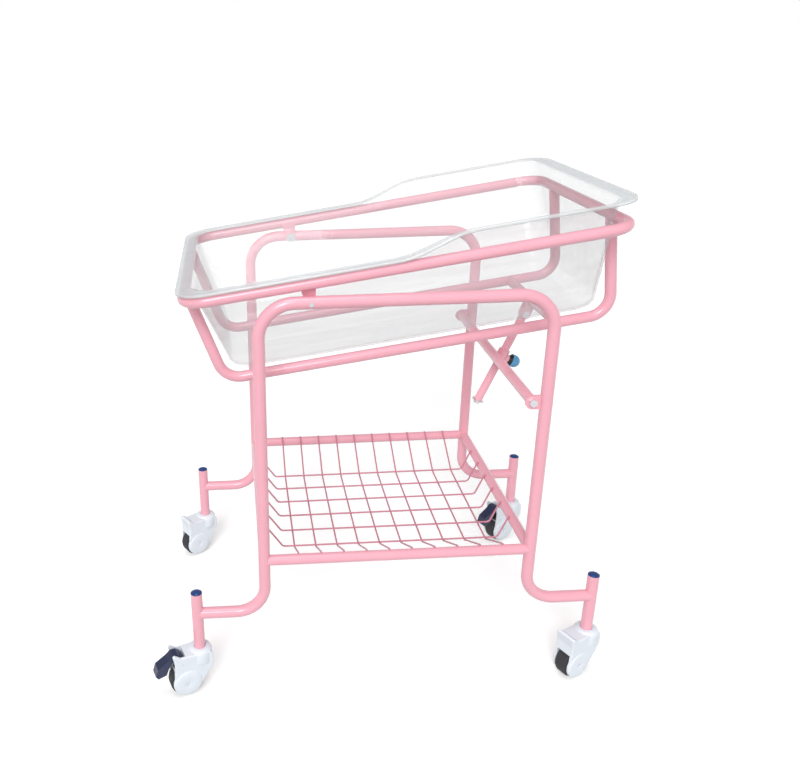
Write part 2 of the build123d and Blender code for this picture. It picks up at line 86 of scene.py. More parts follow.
def linear(hex_colour: str) -> tuple[float, float, float, float]:
    """Turn an sRGB hex colour into the linear colour that shaders take.

    Args:
        hex_colour: six hex digits, such as "F5AFBE".

    Returns:
        Linear red, green and blue, with full alpha.
    """
    channels = [int(hex_colour[start : start + 2], 16) / 255 for start in (0, 2, 4)]
    low, slope, offset, power = 0.04045, 12.92, 0.055, 2.4
    lit = [c / slope if c <= low else ((c + offset) / (1 + offset)) ** power for c in channels]
    return (lit[0], lit[1], lit[2], 1.0)


def add_node(
    owner: bpy.types.Material | bpy.types.World,
    kind: str,
    inputs: dict | None = None,
    links: dict | None = None,
    **settings,
) -> bpy.types.Node:
    """Add one shader node with its settings, socket values and links.

    Args:
        owner: material or world whose tree takes the node.
        kind: Blender's name for the node type.
        inputs: socket values by socket name or index.
        links: sockets of other nodes to join, by input name or index.
        **settings: node properties.

    Returns:
        The new node.
    """
    tree = owner.node_tree
    node = tree.nodes.new(kind)
    for name, value in settings.items():
        setattr(node, name, value)
    for name, value in (inputs or {}).items():
        node.inputs[name].default_value = value
    for name, source in (links or {}).items():
        tree.links.new(source, node.inputs[name])
    return node


class Tint(Enum):
    """sRGB colours read off the object, as hex."""

    ROSE = "F5AFBE"
    # Painted shade: the tubes' rose powder drawn darker for the thin basket wires.
    WIRE_ROSE = "D08799"
    NAVY = "1C3F7C"
    KNOB_BLUE = "5AA2CF"
    PEDAL = "252C4E"
    HOOD = "EAF1F9"
    WHEEL_GREY = "D3D9DF"
    TYRE = "37373C"
    ZINC = "DCDDE0"
    BLACK = "141416"
    CLEAR = "EBEEF0"
    CLEAR_EDGE = "C4CCD0"
    CLEAR_LIP = "EEF1F2"
    FLOOR = "FAFAFA"


class Corner(Enum):
    """The four corners of the stand, each with its castor."""

    NEAR_LEFT = "near_left"
    NEAR_RIGHT = "near_right"
    FAR_LEFT = "far_left"
    FAR_RIGHT = "far_right"


class Draft:
    """A material in the making: its tree, its Principled shader and its coordinates in metres."""

    patch_detail = 3.0
    patch_roughness = 0.55
    relief_detail = 2.0
    relief_strength = 0.6

    def __init__(self, name: str) -> None:
        """Start an empty material.

        Args:
            name: its name.
        """
        self.material = bpy.data.materials.new(name)
        self.material.use_nodes = True
        self.material.node_tree.nodes.clear()
        self.shader = add_node(self.material, "ShaderNodeBsdfPrincipled")
        links = {"Surface": self.shader.outputs["BSDF"]}
        add_node(self.material, "ShaderNodeOutputMaterial", links=links)
        self.place = add_node(self.material, "ShaderNodeTexCoord").outputs["Object"]

    def set(self, values: dict[str, float | tuple]) -> None:
        """Set constants on the shader's own sockets, by name."""
        for socket, value in values.items():
            self.shader.inputs[socket].default_value = value

    def feed(self, socket: str, source: bpy.types.NodeSocket) -> None:
        """Link a socket of another node to the shader."""
        self.material.node_tree.links.new(source, self.shader.inputs[socket])

    def noise(
        self, size_mm: float, place: bpy.types.NodeSocket | None = None, **inputs: float
    ) -> bpy.types.NodeSocket:
        """Noise whose patches have a real size.

        Args:
            size_mm: width of a patch in millimetres.
            place: coordinates in metres, the object's own if left out.
            **inputs: values of the noise's other sockets.

        Returns:
            The noise, from 0 to 1.
        """
        values = {"Scale": 1 / (size_mm * MM)} | inputs
        links = {"Vector": self.place if place is None else place}
        return add_node(self.material, "ShaderNodeTexNoise", values, links).outputs["Fac"]

    def mottle(self, tint: Tint, size_mm: float, spread: float) -> None:
        """Colour the surface, a little darker in patches of a real size.

        Args:
            tint: colour of the lighter patches.
            size_mm: width of a patch in millimetres.
            spread: how far the darker patches go, from 0 to 1.
        """
        base = linear(tint.value)
        darker = tuple(channel * (1 - spread) for channel in base[:3]) + (1.0,)
        patches = self.noise(size_mm, Detail=self.patch_detail, Roughness=self.patch_roughness)
        colours = {MIX_A: darker, MIX_B: base}
        mix = add_node(self.material, "ShaderNodeMix", colours, {MIX_FACTOR: patches}, data_type="RGBA")
        self.feed("Base Color", mix.outputs[MIX_RESULT])

    def emboss(self, size_mm: float, height_mm: float) -> None:
        """Give the surface a fine relief of a real size.

        Args:
            size_mm: width of one bump in millimetres.
            height_mm: height of the relief in millimetres.
        """
        relief = self.noise(size_mm, Detail=self.relief_detail)
        depth = {"Strength": self.relief_strength, "Distance": height_mm * MM}
        bump = add_node(self.material, "ShaderNodeBump", depth, {"Height": relief})
        self.feed("Normal", bump.outputs["Normal"])


@dataclass(frozen=True)
class Finish:
    """What every finish has: the material's name and its colour."""

    name: str
    tint: Tint

    def material(self) -> bpy.types.Material:
        """Build the material, as each finish does in its own way."""
        raise NotImplementedError


@dataclass(frozen=True)
class PowderCoatedSteel(Finish):
    """Epoxy powder baked on steel tube: a smooth gloss with a faint orange peel."""

    roughness: float = 0.27
    coat: float = 0.35
    coat_roughness: float = 0.12
    patch_mm: float = 55.0
    patch_spread: float = 0.07
    peel_mm: float = 3.0
    peel_height_mm: float = 0.03

    def material(self) -> bpy.types.Material:
        """Build the material.

        Returns:
            The finished material.
        """
        draft = Draft(self.name)
        draft.mottle(self.tint, self.patch_mm, self.patch_spread)
        draft.emboss(self.peel_mm, self.peel_height_mm)
        draft.set(
            {
                "Roughness": self.roughness,
                "Coat Weight": self.coat,
                "Coat Roughness": self.coat_roughness,
            }
        )
        return draft.material


@dataclass(frozen=True)
class ZincPlatedSteel(Finish):
    """Bright zinc on turned and pressed steel: silvery, with broken glints.

    The turning marks are drawn coarser than they are, so that they show.
    """

    roughness: float = 0.32
    patch_mm: float = 6.0
    patch_spread: float = 0.18
    mark_mm: float = 0.8
    mark_height_mm: float = 0.02

    def material(self) -> bpy.types.Material:
        """Build the material.

        Returns:
            The finished material.
        """
        draft = Draft(self.name)
        draft.mottle(self.tint, self.patch_mm, self.patch_spread)
        draft.emboss(self.mark_mm, self.mark_height_mm)
        draft.set({"Metallic": 1.0, "Roughness": self.roughness})
        return draft.material


@dataclass(frozen=True)
class MouldedPlastic(Finish):
    """Injection-moulded nylon or polypropylene: an even colour with soft highlights.

    The mould's spark-eroded grain is drawn coarser than it is, so that it shows.
    """

    roughness: float = 0.42
    patch_mm: float = 30.0
    patch_spread: float = 0.05
    grain_mm: float = 1.1
    grain_height_mm: float = 0.03

    def material(self) -> bpy.types.Material:
        """Build the material.

        Returns:
            The finished material.
        """
        draft = Draft(self.name)
        draft.mottle(self.tint, self.patch_mm, self.patch_spread)
        draft.emboss(self.grain_mm, self.grain_height_mm)
        draft.set({"Roughness": self.roughness})
        return draft.material


@dataclass(frozen=True)
class MouldedRubber(Finish):
    """Grey-black thermoplastic tread: dull, with scuffs from the floor."""

    roughness: float = 0.72
    scuff_mm: float = 9.0
    scuff_spread: float = 0.35
    pit_mm: float = 2.2
    pit_height_mm: float = 0.12

    def material(self) -> bpy.types.Material:
        """Build the material.

        Returns:
            The finished material.
        """
        draft = Draft(self.name)
        draft.mottle(self.tint, self.scuff_mm, self.scuff_spread)
        draft.emboss(self.pit_mm, self.pit_height_mm)
        draft.set({"Roughness": self.roughness})
        return draft.material


@dataclass(frozen=True)
class ClearPolymer(Finish):
    """Moulded clear copolyester: faint flow streaks face on, and a stronger grey at grazing edges."""

    edge_tint: Tint = Tint.CLEAR_EDGE
    face_haze: float = 0.075
    edge_haze: float = 0.6
    edge_start: float = 0.45
    edge_blend: float = 0.32
    streak_haze: float = 0.11
    streak_mm: float = 15.0
    streak_detail: float = 2.0
    streak_stretch: float = 11.0
    streak_lean_deg: float = 8.2
    ripple_mm: float = 45.0
    ripple_height_mm: float = 0.3
    roughness: float = 0.08
    ior: float = 1.56

    def streaks(self, draft: Draft) -> bpy.types.NodeSocket:
        """Noise drawn out along the basin, as the melt flowed in the mould.

        Args:
            draft: material that takes the nodes.

        Returns:
            The noise, from 0 to 1.
        """
        along = add_node(
            draft.material,
            "ShaderNodeMapping",
            inputs={
                "Rotation": (0.0, -math.radians(self.streak_lean_deg), 0.0),
                "Scale": (self.streak_stretch, 1.0, 1.0),
            },
            links={"Vector": draft.place},
            vector_type="TEXTURE",
        )
        return draft.noise(self.streak_mm, along.outputs["Vector"], Detail=self.streak_detail)

    def material(self) -> bpy.types.Material:
        """Build the material.

        Returns:
            The finished material.
        """
        draft = Draft(self.name)
        weight = add_node(draft.material, "ShaderNodeLayerWeight", inputs={"Blend": self.edge_blend})
        facing = weight.outputs["Facing"]
        edge = add_node(
            draft.material,
            "ShaderNodeMapRange",
            inputs={"From Min": self.edge_start, "To Min": self.face_haze, "To Max": self.edge_haze},
            links={"Value": facing},
        )
        haze = add_node(
            draft.material,
            "ShaderNodeMath",
            operation="MULTIPLY_ADD",
            inputs={1: self.streak_haze},
            links={0: self.streaks(draft), 2: edge.outputs["Result"]},
        )
        colour = add_node(
            draft.material,
            "ShaderNodeMix",
            data_type="RGBA",
            inputs={MIX_A: linear(self.tint.value), MIX_B: linear(self.edge_tint.value)},
            links={MIX_FACTOR: facing},
        )
        draft.feed("Base Color", colour.outputs[MIX_RESULT])
        draft.feed("Alpha", haze.outputs["Value"])
        draft.emboss(self.ripple_mm, self.ripple_height_mm)
        draft.set({"Roughness": self.roughness, "IOR": self.ior})
        return draft.material


@dataclass(frozen=True)
class OpalAcrylic(Finish):
    """Sheet of opal acrylic lit from below, which gives the eye an even white ground."""

    roughness: float = 0.9
    patch_mm: float = 900.0
    patch_spread: float = 0.01
    glow: float = 0.3

    def material(self) -> bpy.types.Material:
        """Build the material.

        Returns:
            The finished material.
        """
        draft = Draft(self.name)
        draft.mottle(self.tint, self.patch_mm, self.patch_spread)
        draft.set(
            {
                "Roughness": self.roughness,
                "Emission Color": linear(self.tint.value),
                "Emission Strength": self.glow,
            }
        )
        return draft.material


def finishes() -> dict[str, Finish]:
    """Name the finish of each of the record's material slots.

    Returns:
        Finishes by slot.
    """
    return {
        # Glossy pink, with highlights along every tube.
        "coated_tube": PowderCoatedSteel("rose_powder_coated_tube", Tint.ROSE),
        # The same powder on thin wire, duller, and drawn darker than the tubes as painted shade.
        "coated_wire": PowderCoatedSteel(
            "shaded_rose_powder_coated_wire", Tint.WIRE_ROSE, roughness=0.4, coat=0.1
        ),
        # Near black and half matt, so the sockets read as dark rims.
        "socket_plastic": MouldedPlastic("black_moulded_socket", Tint.BLACK),
        # Domes that catch one small highlight each.
        "blue_cap": MouldedPlastic("navy_moulded_cap", Tint.NAVY, roughness=0.3),
        # Bright dots of bare metal between the painted and moulded pieces.
        "zinc_steel": ZincPlatedSteel("zinc_plated_steel", Tint.ZINC),
        # A dark ring behind the knob's light cap.
        "black_plastic": MouldedPlastic("black_moulded_hub", Tint.BLACK),
        # The object's only light blue, with a soft gloss.
        "blue_knob": MouldedPlastic("light_blue_moulded_knob", Tint.KNOB_BLUE, roughness=0.3),
        # Nearly unseen face on, and drawn by its grey edges.
        "clear_basin": ClearPolymer("clear_moulded_copolyester", Tint.CLEAR),
        # Cool white, with soft shades round the mouldings.
        "white_hood": MouldedPlastic("white_moulded_nylon", Tint.HOOD, roughness=0.36),
        # A step darker than the hoods that cover it.
        "grey_wheel": MouldedPlastic("pale_grey_moulded_wheel", Tint.WHEEL_GREY),
        # A dull dark band where the castor meets the floor.
        "dark_tyre": MouldedRubber("dark_moulded_tread", Tint.TYRE),
        # Dark against the white hood.
        "navy_pedal": MouldedPlastic("slate_blue_moulded_pedal", Tint.PEDAL, roughness=0.4),
    }


def smooth(mesh: bpy.types.Mesh) -> None:
    """Shade every face of a mesh smooth."""
    mesh.polygons.foreach_set("use_smooth", [True] * len(mesh.polygons))


def show(name: str, data: bpy.types.ID) -> bpy.types.Object:
    """Put new data in the scene as an object of the same name.

    Args:
        name: object name.
        data: mesh, curve, lamp or camera.

    Returns:
        The new object.
    """
    thing = bpy.data.objects.new(name, data)
    bpy.context.scene.collection.objects.link(thing)
    return thing


def mesh_piece(name: str, bm: bmesh.types.BMesh, material: bpy.types.Material) -> bpy.types.Object:
    """Turn a bmesh into a smooth-shaded object in the scene.

    Args:
        name: piece name.
        bm: geometry in metres, freed here.
        material: its finish.

    Returns:
        The new object.
    """
    mesh = bpy.data.meshes.new(name)
    bmesh.ops.recalc_face_normals(bm, faces=bm.faces)
    bm.to_mesh(mesh)
    bm.free()
    smooth(mesh)
    mesh.materials.append(material)
    return show(name, mesh)


def revolve(
    bm: bmesh.types.BMesh, centre: Vector, axis: Vector, profile: list[Place], steps: int = 48
) -> None:
    """Turn a closed profile round an axis.

    Args:
        bm: geometry that takes the new faces.
        centre: point on the axis where heights start, in metres.
        axis: unit vector.
        profile: radii and heights along the axis, in millimetres.
        steps: faces round the axis.
    """
    side = axis.orthogonal().normalized()
    across = axis.cross(side)
    turns = [2 * math.pi * step / steps for step in range(steps)]
    rays = [side * math.cos(turn) + across * math.sin(turn) for turn in turns]
    rings = []
    for radius, height in profile:
        rings.append([bm.verts.new(centre + (axis * height + ray * radius) * MM) for ray in rays])
    for number, ring in enumerate(rings):
        following = rings[(number + 1) % len(rings)]
        for index in range(steps):
            after = (index + 1) % steps
            bm.faces.new((ring[index], ring[after], following[after], following[index]))


@dataclass
class Kit:
    """What the sub-assemblies share: the frame's solids and joints, and a material for each slot."""

    nodes: dict[str, bpy.types.Object]
    bodies: dict[str, list[str]]
    slots: dict[str, str]
    joints: dict[str, dict]
    materials: dict[str, bpy.types.Material]

    @classmethod
    def opened(cls, frame: dict) -> Kit:
        """Make every finish for a loaded frame.
        """
        record = frame["record"]
        return cls(
            nodes=frame["nodes"],
            bodies=record["behaviour"]["bodies"],
            slots={entry["node"]: entry["material_slot"] for entry in record["subparts"]},
            joints={joint["name"]: joint for joint in frame["joints"]},
            materials={slot: finish.material() for slot, finish in finishes().items()},
        )


@dataclass(kw_only=True)
class SubAssembly:
    """One sub-assembly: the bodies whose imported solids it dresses, and the pieces that it builds.

    Sizes are in millimetres, and angles in degrees where their names say so.
    """

    kit: Kit
    bodies: tuple[str, ...] = ()

    def dress(self) -> None:
        """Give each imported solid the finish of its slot, and smooth its round faces."""
        for name in [node for body in self.bodies for node in self.kit.bodies[body]]:
            mesh = self.kit.nodes[name].data
            mesh.materials.clear()
            mesh.materials.append(self.kit.materials[self.kit.slots[name]])
            smooth(mesh)
            mesh.set_sharp_from_angle(angle=math.radians(SOLID_SHARP_DEG))
            LOG.info("dressed %s", name)

    def build(self) -> None:
        """Build the pieces that this sub-assembly adds to its solids, none unless it says so."""

    def assemble(self) -> None:
        """Dress the solids and build the rest."""
        self.dress()
        self.build()


@dataclass(kw_only=True)
class Stand(SubAssembly):
    """Bent side frames, rails, castor posts and what is bolted to them, all as packed."""

    bodies: tuple[str, ...] = ("stand",)


@dataclass(kw_only=True)
class Cradle(SubAssembly):
    """Ring, lower tubes, pivot plates and the rod's lug, all as packed, with their tilted frame.

    In that frame u runs along the basin from the pivot, y across, and w square to the ring.
    """

    bodies: tuple[str, ...] = ("cradle",)
    tilt_deg: float = 8.2
    pivot_mm: tuple[float, float, float] = (-129.49, 8.66, 786.7)

    def place(self, u: float, y: float, w: float) -> Vector:
        """Find a point of the tipped cradle in the object's frame.

        Args:
            u: distance along the basin from the pivot, in millimetres.
            y: distance across.
            w: distance square to the ring.

        Returns:
            The point, in metres.
        """
        lean = math.radians(self.tilt_deg)
        x = self.pivot_mm[0] + u * math.cos(lean) - w * math.sin(lean)
        z = self.pivot_mm[2] + u * math.sin(lean) + w * math.cos(lean)
        return Vector((x, self.pivot_mm[1] + y, z)) * MM


@dataclass(kw_only=True)
class Basin(SubAssembly):
    """Clear tapered tub with an all-round lip, whose sides step up towards the head end.

    Heights named w and places along it are in the cradle's tilted frame, from the pivot.
    """

    bodies: tuple[str, ...] = ("tub",)
    cradle: Cradle
    wall: float = 3.0
    floor_w: float = -139.5
    ring_w: float = 42.6
    floor_half_w: float = 127.0
    ring_half_w: float = 216.0
    floor_ends: Place = (-157.0, 522.5)
    ring_ends: Place = (-195.5, 527.0)
    corner_r: float = 42.0
    edge_r: float = 22.0
    low_rim_w: float = 46.6
    high_rim_w: float = 77.0
    rise: Place = (150.0, 285.0)
    lip_half_w: float = 241.0
    lip_ends: Place = (-221.0, 556.0)
    lip_corner_r: float = 52.0
    lip_t: float = 3.0
    turn_down: float = 5.0
    point_spacing: float = 18.0
    corner_steps: int = 10
    edge_turns: tuple[float, ...] = (0.0, 0.25, 0.5, 0.75, 1.0)
    wall_shares: tuple[float, ...] = (0.12, 0.3, 0.5, 0.7, 0.86, 1.0)
    fillet_under_lip: float = 2.0
    round_over_rim: float = 1.6
    under_reaches: tuple[float, ...] = (0.12, 0.4, 0.72)
    bend_reach: float = 0.86
    bend_drop: float = 0.6
    turned_reach: float = 0.9
    shoulder_drops: Place = (1.4, 0.3)
    shoulder_reach: float = 0.97
    top_reaches: tuple[float, ...] = (0.9, 0.5, 0.12)

    def outline(self, half_w: float, ends: Place, radius: float) -> list[Place]:
        """Points round a rounded rectangle, as many for every size as the lip's outline has.

        Args:
            half_w: half width across, in millimetres.
            ends: lowest and highest place along.
            radius: corner radius.

        Returns:
            Points along and across, in millimetres.
        """
        long_steps = round((self.lip_ends[1] - self.lip_ends[0]) / self.point_spacing)
        short_steps = round(2 * self.lip_half_w / self.point_spacing)
        corners = [
            (ends[1] - radius, half_w - radius, long_steps),
            (ends[0] + radius, half_w - radius, short_steps),
            (ends[0] + radius, -half_w + radius, long_steps),
            (ends[1] - radius, -half_w + radius, short_steps),
        ]
        points = []
        for index, (along, across, side_steps) in enumerate(corners):
            for step in range(self.corner_steps + 1):
                angle = QUARTER * (index + step / self.corner_steps)
                points.append((along + radius * math.cos(angle), across + radius * math.sin(angle)))
            here = points[-1]
            next_along, next_across, _ = corners[(index + 1) % len(corners)]
            angle = QUARTER * (index + 1)
            run = (
                next_along + radius * math.cos(angle) - here[0],
                next_across + radius * math.sin(angle) - here[1],
            )
            for step in range(1, side_steps):
                share = step / side_steps
                points.append((here[0] + run[0] * share, here[1] + run[1] * share))
        return points

    def rim_w(self, along: float) -> float:
        """Height of the rim, which eases up over the rise.

        Args:
            along: place along the basin.

        Returns:
            Height in the cradle's frame.
        """
        share = min(max((along - self.rise[0]) / (self.rise[1] - self.rise[0]), 0.0), 1.0)
        eased = share * share * (3 - 2 * share)
        return self.low_rim_w + (self.high_rim_w - self.low_rim_w) * eased

    def wall_line(self, w: float, inset: float) -> tuple[float, Place, float]:
        """Half width, ends and corner radius of the tapered wall at a height.

        Args:
            w: height in the cradle's frame.
            inset: distance inwards from the outer face.

        Returns:
            Half width, ends along, and corner radius.
        """
        share = (w - self.floor_w) / (self.ring_w - self.floor_w)
        half_w = self.floor_half_w + (self.ring_half_w - self.floor_half_w) * share - inset
        low = self.floor_ends[0] + (self.ring_ends[0] - self.floor_ends[0]) * share + inset
        high = self.floor_ends[1] + (self.ring_ends[1] - self.floor_ends[1]) * share - inset
        return half_w, (low, high), self.corner_r - inset

    def wall_loop(self, share: float, inset: float, top_drop: float) -> list[Vector]:
        """Loop of points at a share of the way up the wall.

        Args:
            share: 0 at the floor's edge and 1 at the rim less top_drop.
            inset: distance inwards from the outer face.
            top_drop: how far below the rim the wall ends.

        Returns:
            Points in metres.
        """
        start = self.floor_w + self.edge_r
        points = []
        for index, (along, _) in enumerate(self.outline(*self.wall_line(self.ring_w, inset))):
            top = self.rim_w(along) - top_drop
            w = start + (top - start) * share
            here = self.outline(*self.wall_line(w, inset))[index]
            points.append(self.cradle.place(here[0], here[1], w))
        return points

    def floor_loop(self, turn: float, inset: float) -> list[Vector]:
        """Loop round the floor's rounded edge.

        Args:
            turn: 0 on the flat floor and 1 where the edge meets the wall.
            inset: distance inwards from the outer face.

        Returns:
            Points in metres.
        """
        radius = self.edge_r - inset
        angle = turn * QUARTER
        w = self.floor_w + inset + radius * (1 - math.cos(angle))
        half_w, ends, corner = self.wall_line(self.floor_w + self.edge_r, inset)
        shrink = radius * (1 - math.sin(angle))
        line = (half_w - shrink, (ends[0] + shrink, ends[1] - shrink), corner - shrink / 2)
        return [self.cradle.place(along, across, w) for along, across in self.outline(*line)]

    def lip_loop(self, reach: float, drop: float) -> list[Vector]:
        """Loop on the lip.

        Args:
            reach: 0 at the wall and 1 at the lip's outer edge.
            drop: distance below the rim's top.

        Returns:
            Points in metres.
        """
        points = []
        outer = self.outline(self.lip_half_w, self.lip_ends, self.lip_corner_r)
        for index, (along, across) in enumerate(outer):
            rim = self.rim_w(along)
            wall = self.outline(*self.wall_line(rim, 0.0))[index]
            here = (wall[0] + (along - wall[0]) * reach, wall[1] + (across - wall[1]) * reach)
            points.append(self.cradle.place(here[0], here[1], rim - drop))
        return points

    def outside_loops(self) -> list[list[Vector]]:
        """Go from the underside of the floor up the outer face, to just under the lip.

        Returns:
            Loops in metres, from below.
        """
        floor = [self.floor_loop(turn, 0.0) for turn in self.edge_turns]
        top_drop = self.lip_t + self.fillet_under_lip
        return floor + [self.wall_loop(share, 0.0, top_drop) for share in self.wall_shares]

    def lip_loops(self) -> list[list[Vector]]:
        """Go out under the lip, round its turned-down edge, and back in over its top.

        Returns:
            Loops in metres.
        """
        shoulder_low, shoulder_high = self.shoulder_drops
        section = [
            *((reach, self.lip_t) for reach in self.under_reaches),
            (self.bend_reach, self.lip_t + self.bend_drop),
            (self.turned_reach, self.turn_down),
            (1.0, self.turn_down),
            (1.0, shoulder_low),
            (self.shoulder_reach, shoulder_high),
            *((reach, 0.0) for reach in self.top_reaches),
        ]
        return [self.lip_loop(reach, drop) for reach, drop in section]

    def inside_loops(self) -> list[list[Vector]]:
        """Go from the rim down the inner face, to the floor inside.

        Returns:
            Loops in metres, from above.
        """
        shares, turns = reversed(self.wall_shares), reversed(self.edge_turns)
        face = [self.wall_loop(share, self.wall, self.round_over_rim) for share in shares]
        return face + [self.floor_loop(turn, self.wall) for turn in turns]

    def build(self) -> None:
        """Make the tub as one closed shell, with a milkier finish on its thick rolled lip."""
        outside, lip = self.outside_loops(), self.lip_loops()
        bm = bmesh.new()
        rings = [[bm.verts.new(point) for point in loop] for loop in outside + lip + self.inside_loops()]
        lip_rows = range(len(outside), len(outside) + len(lip))
        for number, (lower, upper) in enumerate(zip(rings, rings[1:])):
            for index in range(len(lower)):
                after = (index + 1) % len(lower)
                face = bm.faces.new((lower[index], lower[after], upper[after], upper[index]))
                face.material_index = int(number in lip_rows)
        bm.faces.new(rings[0][::-1])
        bm.faces.new(rings[-1])
        tub = mesh_piece("clear_basin", bm, self.kit.materials["clear_basin"])
        # The thick rolled lip scatters more light than the wall and reads as a milky band.
        rolled = ClearPolymer("milky_rolled_lip", Tint.CLEAR_LIP, face_haze=0.42, edge_haze=0.85)
        tub.data.materials.append(rolled.material())
        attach(tub, "tub")
        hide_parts("basin")
        LOG.info("built %s", tub.name)


@dataclass(kw_only=True)
class WireBasket(SubAssembly):
    """Crossed wires with hooked ends over the stand's rails."""

    centre: Place = (32.11, 8.66)
    wire_d: float = 3.6
    floor_z: float = 244.0
    floor_y: float = 137.0
    middle_x: float = 6.0
    cross_count: int = 10
    cross_span: float = 384.0
    long_count: int = 6
    long_floor_x: float = 215.0
    side_y: float = 235.0
    side_x: float = 250.0
    rail_z: float = 286.0
    rail_r: float = 10.0
    bend_r: float = 9.0
    bend_steps: int = 5
    hook_deg: float = 25.0
    hook_steps: int = 12
    round_steps: int = 3

    def hooked(self, side: int, floor: Place, rail: float) -> list[Place]:
        """End of a wire in its own plane, from the hook's tip down to where it leaves the rail.

        Args:
            side: -1 or 1, the side of the basket.
            floor: where the floor's bend is, across and up.
            rail: distance of the rail from the middle.

        Returns:
            Points across and up, in millimetres, hook first.
        """
        reach = self.rail_r + self.wire_d / 2
        centre = (side * rail, self.rail_z)
        across, up = floor[0] - centre[0], floor[1] - centre[1]
        lean = math.atan2(up, -side * across)
        tangent = lean + math.acos(min(reach / math.hypot(across, up), 1.0))
        points = []
        for step in range(self.hook_steps + 1):
            angle = tangent + math.radians(self.hook_deg) * (1 - step / self.hook_steps)
            out, rise = -side * reach * math.cos(angle), reach * math.sin(angle)
            points.append((centre[0] + out, centre[1] + rise))
        return points

    def bend(self, before: Vector, corner: Vector, after: Vector) -> list[Vector]:
        """Round bend that replaces a corner.

        Args:
            before: point that the wire comes from.
            corner: the sharp corner.
            after: point that the wire goes to.

        Returns:
            Points of the bend, in millimetres.
        """
        first, second = (before - corner).normalized(), (after - corner).normalized()
        half = first.angle(second) / 2
        cut = self.bend_r / math.tan(half)
        start, end = corner + first * cut, corner + second * cut
        middle = corner + (first + second).normalized() * (self.bend_r / math.sin(half))
        points = []
        for step in range(self.bend_steps + 1):
            ray = (start - middle).lerp(end - middle, step / self.bend_steps).normalized()
            points.append(middle + ray * self.bend_r)
        return points

    def path(self, floor_ends: Place, floor_z: float, rail: float) -> list[Place]:
        """Whole profile of one wire: hook, slope, bend, floor, bend, slope, hook.

        Args:
            floor_ends: where the floor's two bends are.
            floor_z: height of the wire's middle on the floor.
            rail: distance of each rail from the middle.

        Returns:
            Points across and up, in millimetres.
        """
        left = self.hooked(-1, (floor_ends[0], floor_z), rail)
        right = self.hooked(1, (floor_ends[1], floor_z), rail)
        corners = [Vector((across, floor_z, 0)) for across in floor_ends]
        start, end = Vector((*left[-1], 0)), Vector((*right[-1], 0))
        bends = self.bend(start, corners[0], corners[1]) + self.bend(corners[0], corners[1], end)
        return left + [(point.x, point.y) for point in bends] + right[::-1]

    def route(self, profile: list[Place], fixed: float, along_x: bool) -> list[Vector]:
        """Stand a wire's profile up in the object's frame.

        Args:
            profile: points across and up, in millimetres.
            fixed: where the wire's plane is, from the basket's centre.
            along_x: whether the wire runs along the object, not across it.

        Returns:
            Points in metres.
        """
        if along_x:
            flat = [(across, fixed, up) for across, up in profile]
        else:
            flat = [(fixed, across, up) for across, up in profile]
        return [Vector((x + self.centre[0], y + self.centre[1], z)) * MM for x, y, z in flat]

    def wire(self, name: str, points: list[Vector]) -> None:
        """Make one round wire and fix it to the stand.

        Args:
            name: piece name.
            points: its middle line, in metres.
        """
        curve = bpy.data.curves.new(name, "CURVE")
        curve.dimensions = "3D"
        curve.bevel_depth = self.wire_d / 2 * MM
        curve.bevel_resolution = self.round_steps
        curve.use_fill_caps = True
        spline = curve.splines.new("POLY")
        spline.points.add(len(points) - 1)
        for spot, point in zip(spline.points, points):
            spot.co = (*point, 1.0)
        spline.use_smooth = True
        curve.materials.append(self.kit.materials["coated_wire"])
        piece = show(name, curve)
        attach(piece, "stand")
        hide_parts("wire_basket")
        LOG.info("built %s", name)

    def build(self) -> None:
        """Lay the cross wires, and the long wires on top of them."""
        profile = self.path((-self.floor_y, self.floor_y), self.floor_z, self.side_y)
        for index in range(self.cross_count):
            x = self.middle_x - self.cross_span / 2 + index * self.cross_span / (self.cross_count - 1)
            self.wire(f"basket_cross_wire_{index + 1}", self.route(profile, x, along_x=False))
        ends = (self.middle_x - self.long_floor_x, self.middle_x + self.long_floor_x)
        profile = self.path(ends, self.floor_z + self.wire_d, self.side_x)
        for index in range(self.long_count):
            y = -self.floor_y + index * 2 * self.floor_y / (self.long_count - 1)
            self.wire(f"basket_long_wire_{index + 1}", self.route(profile, y, along_x=True))


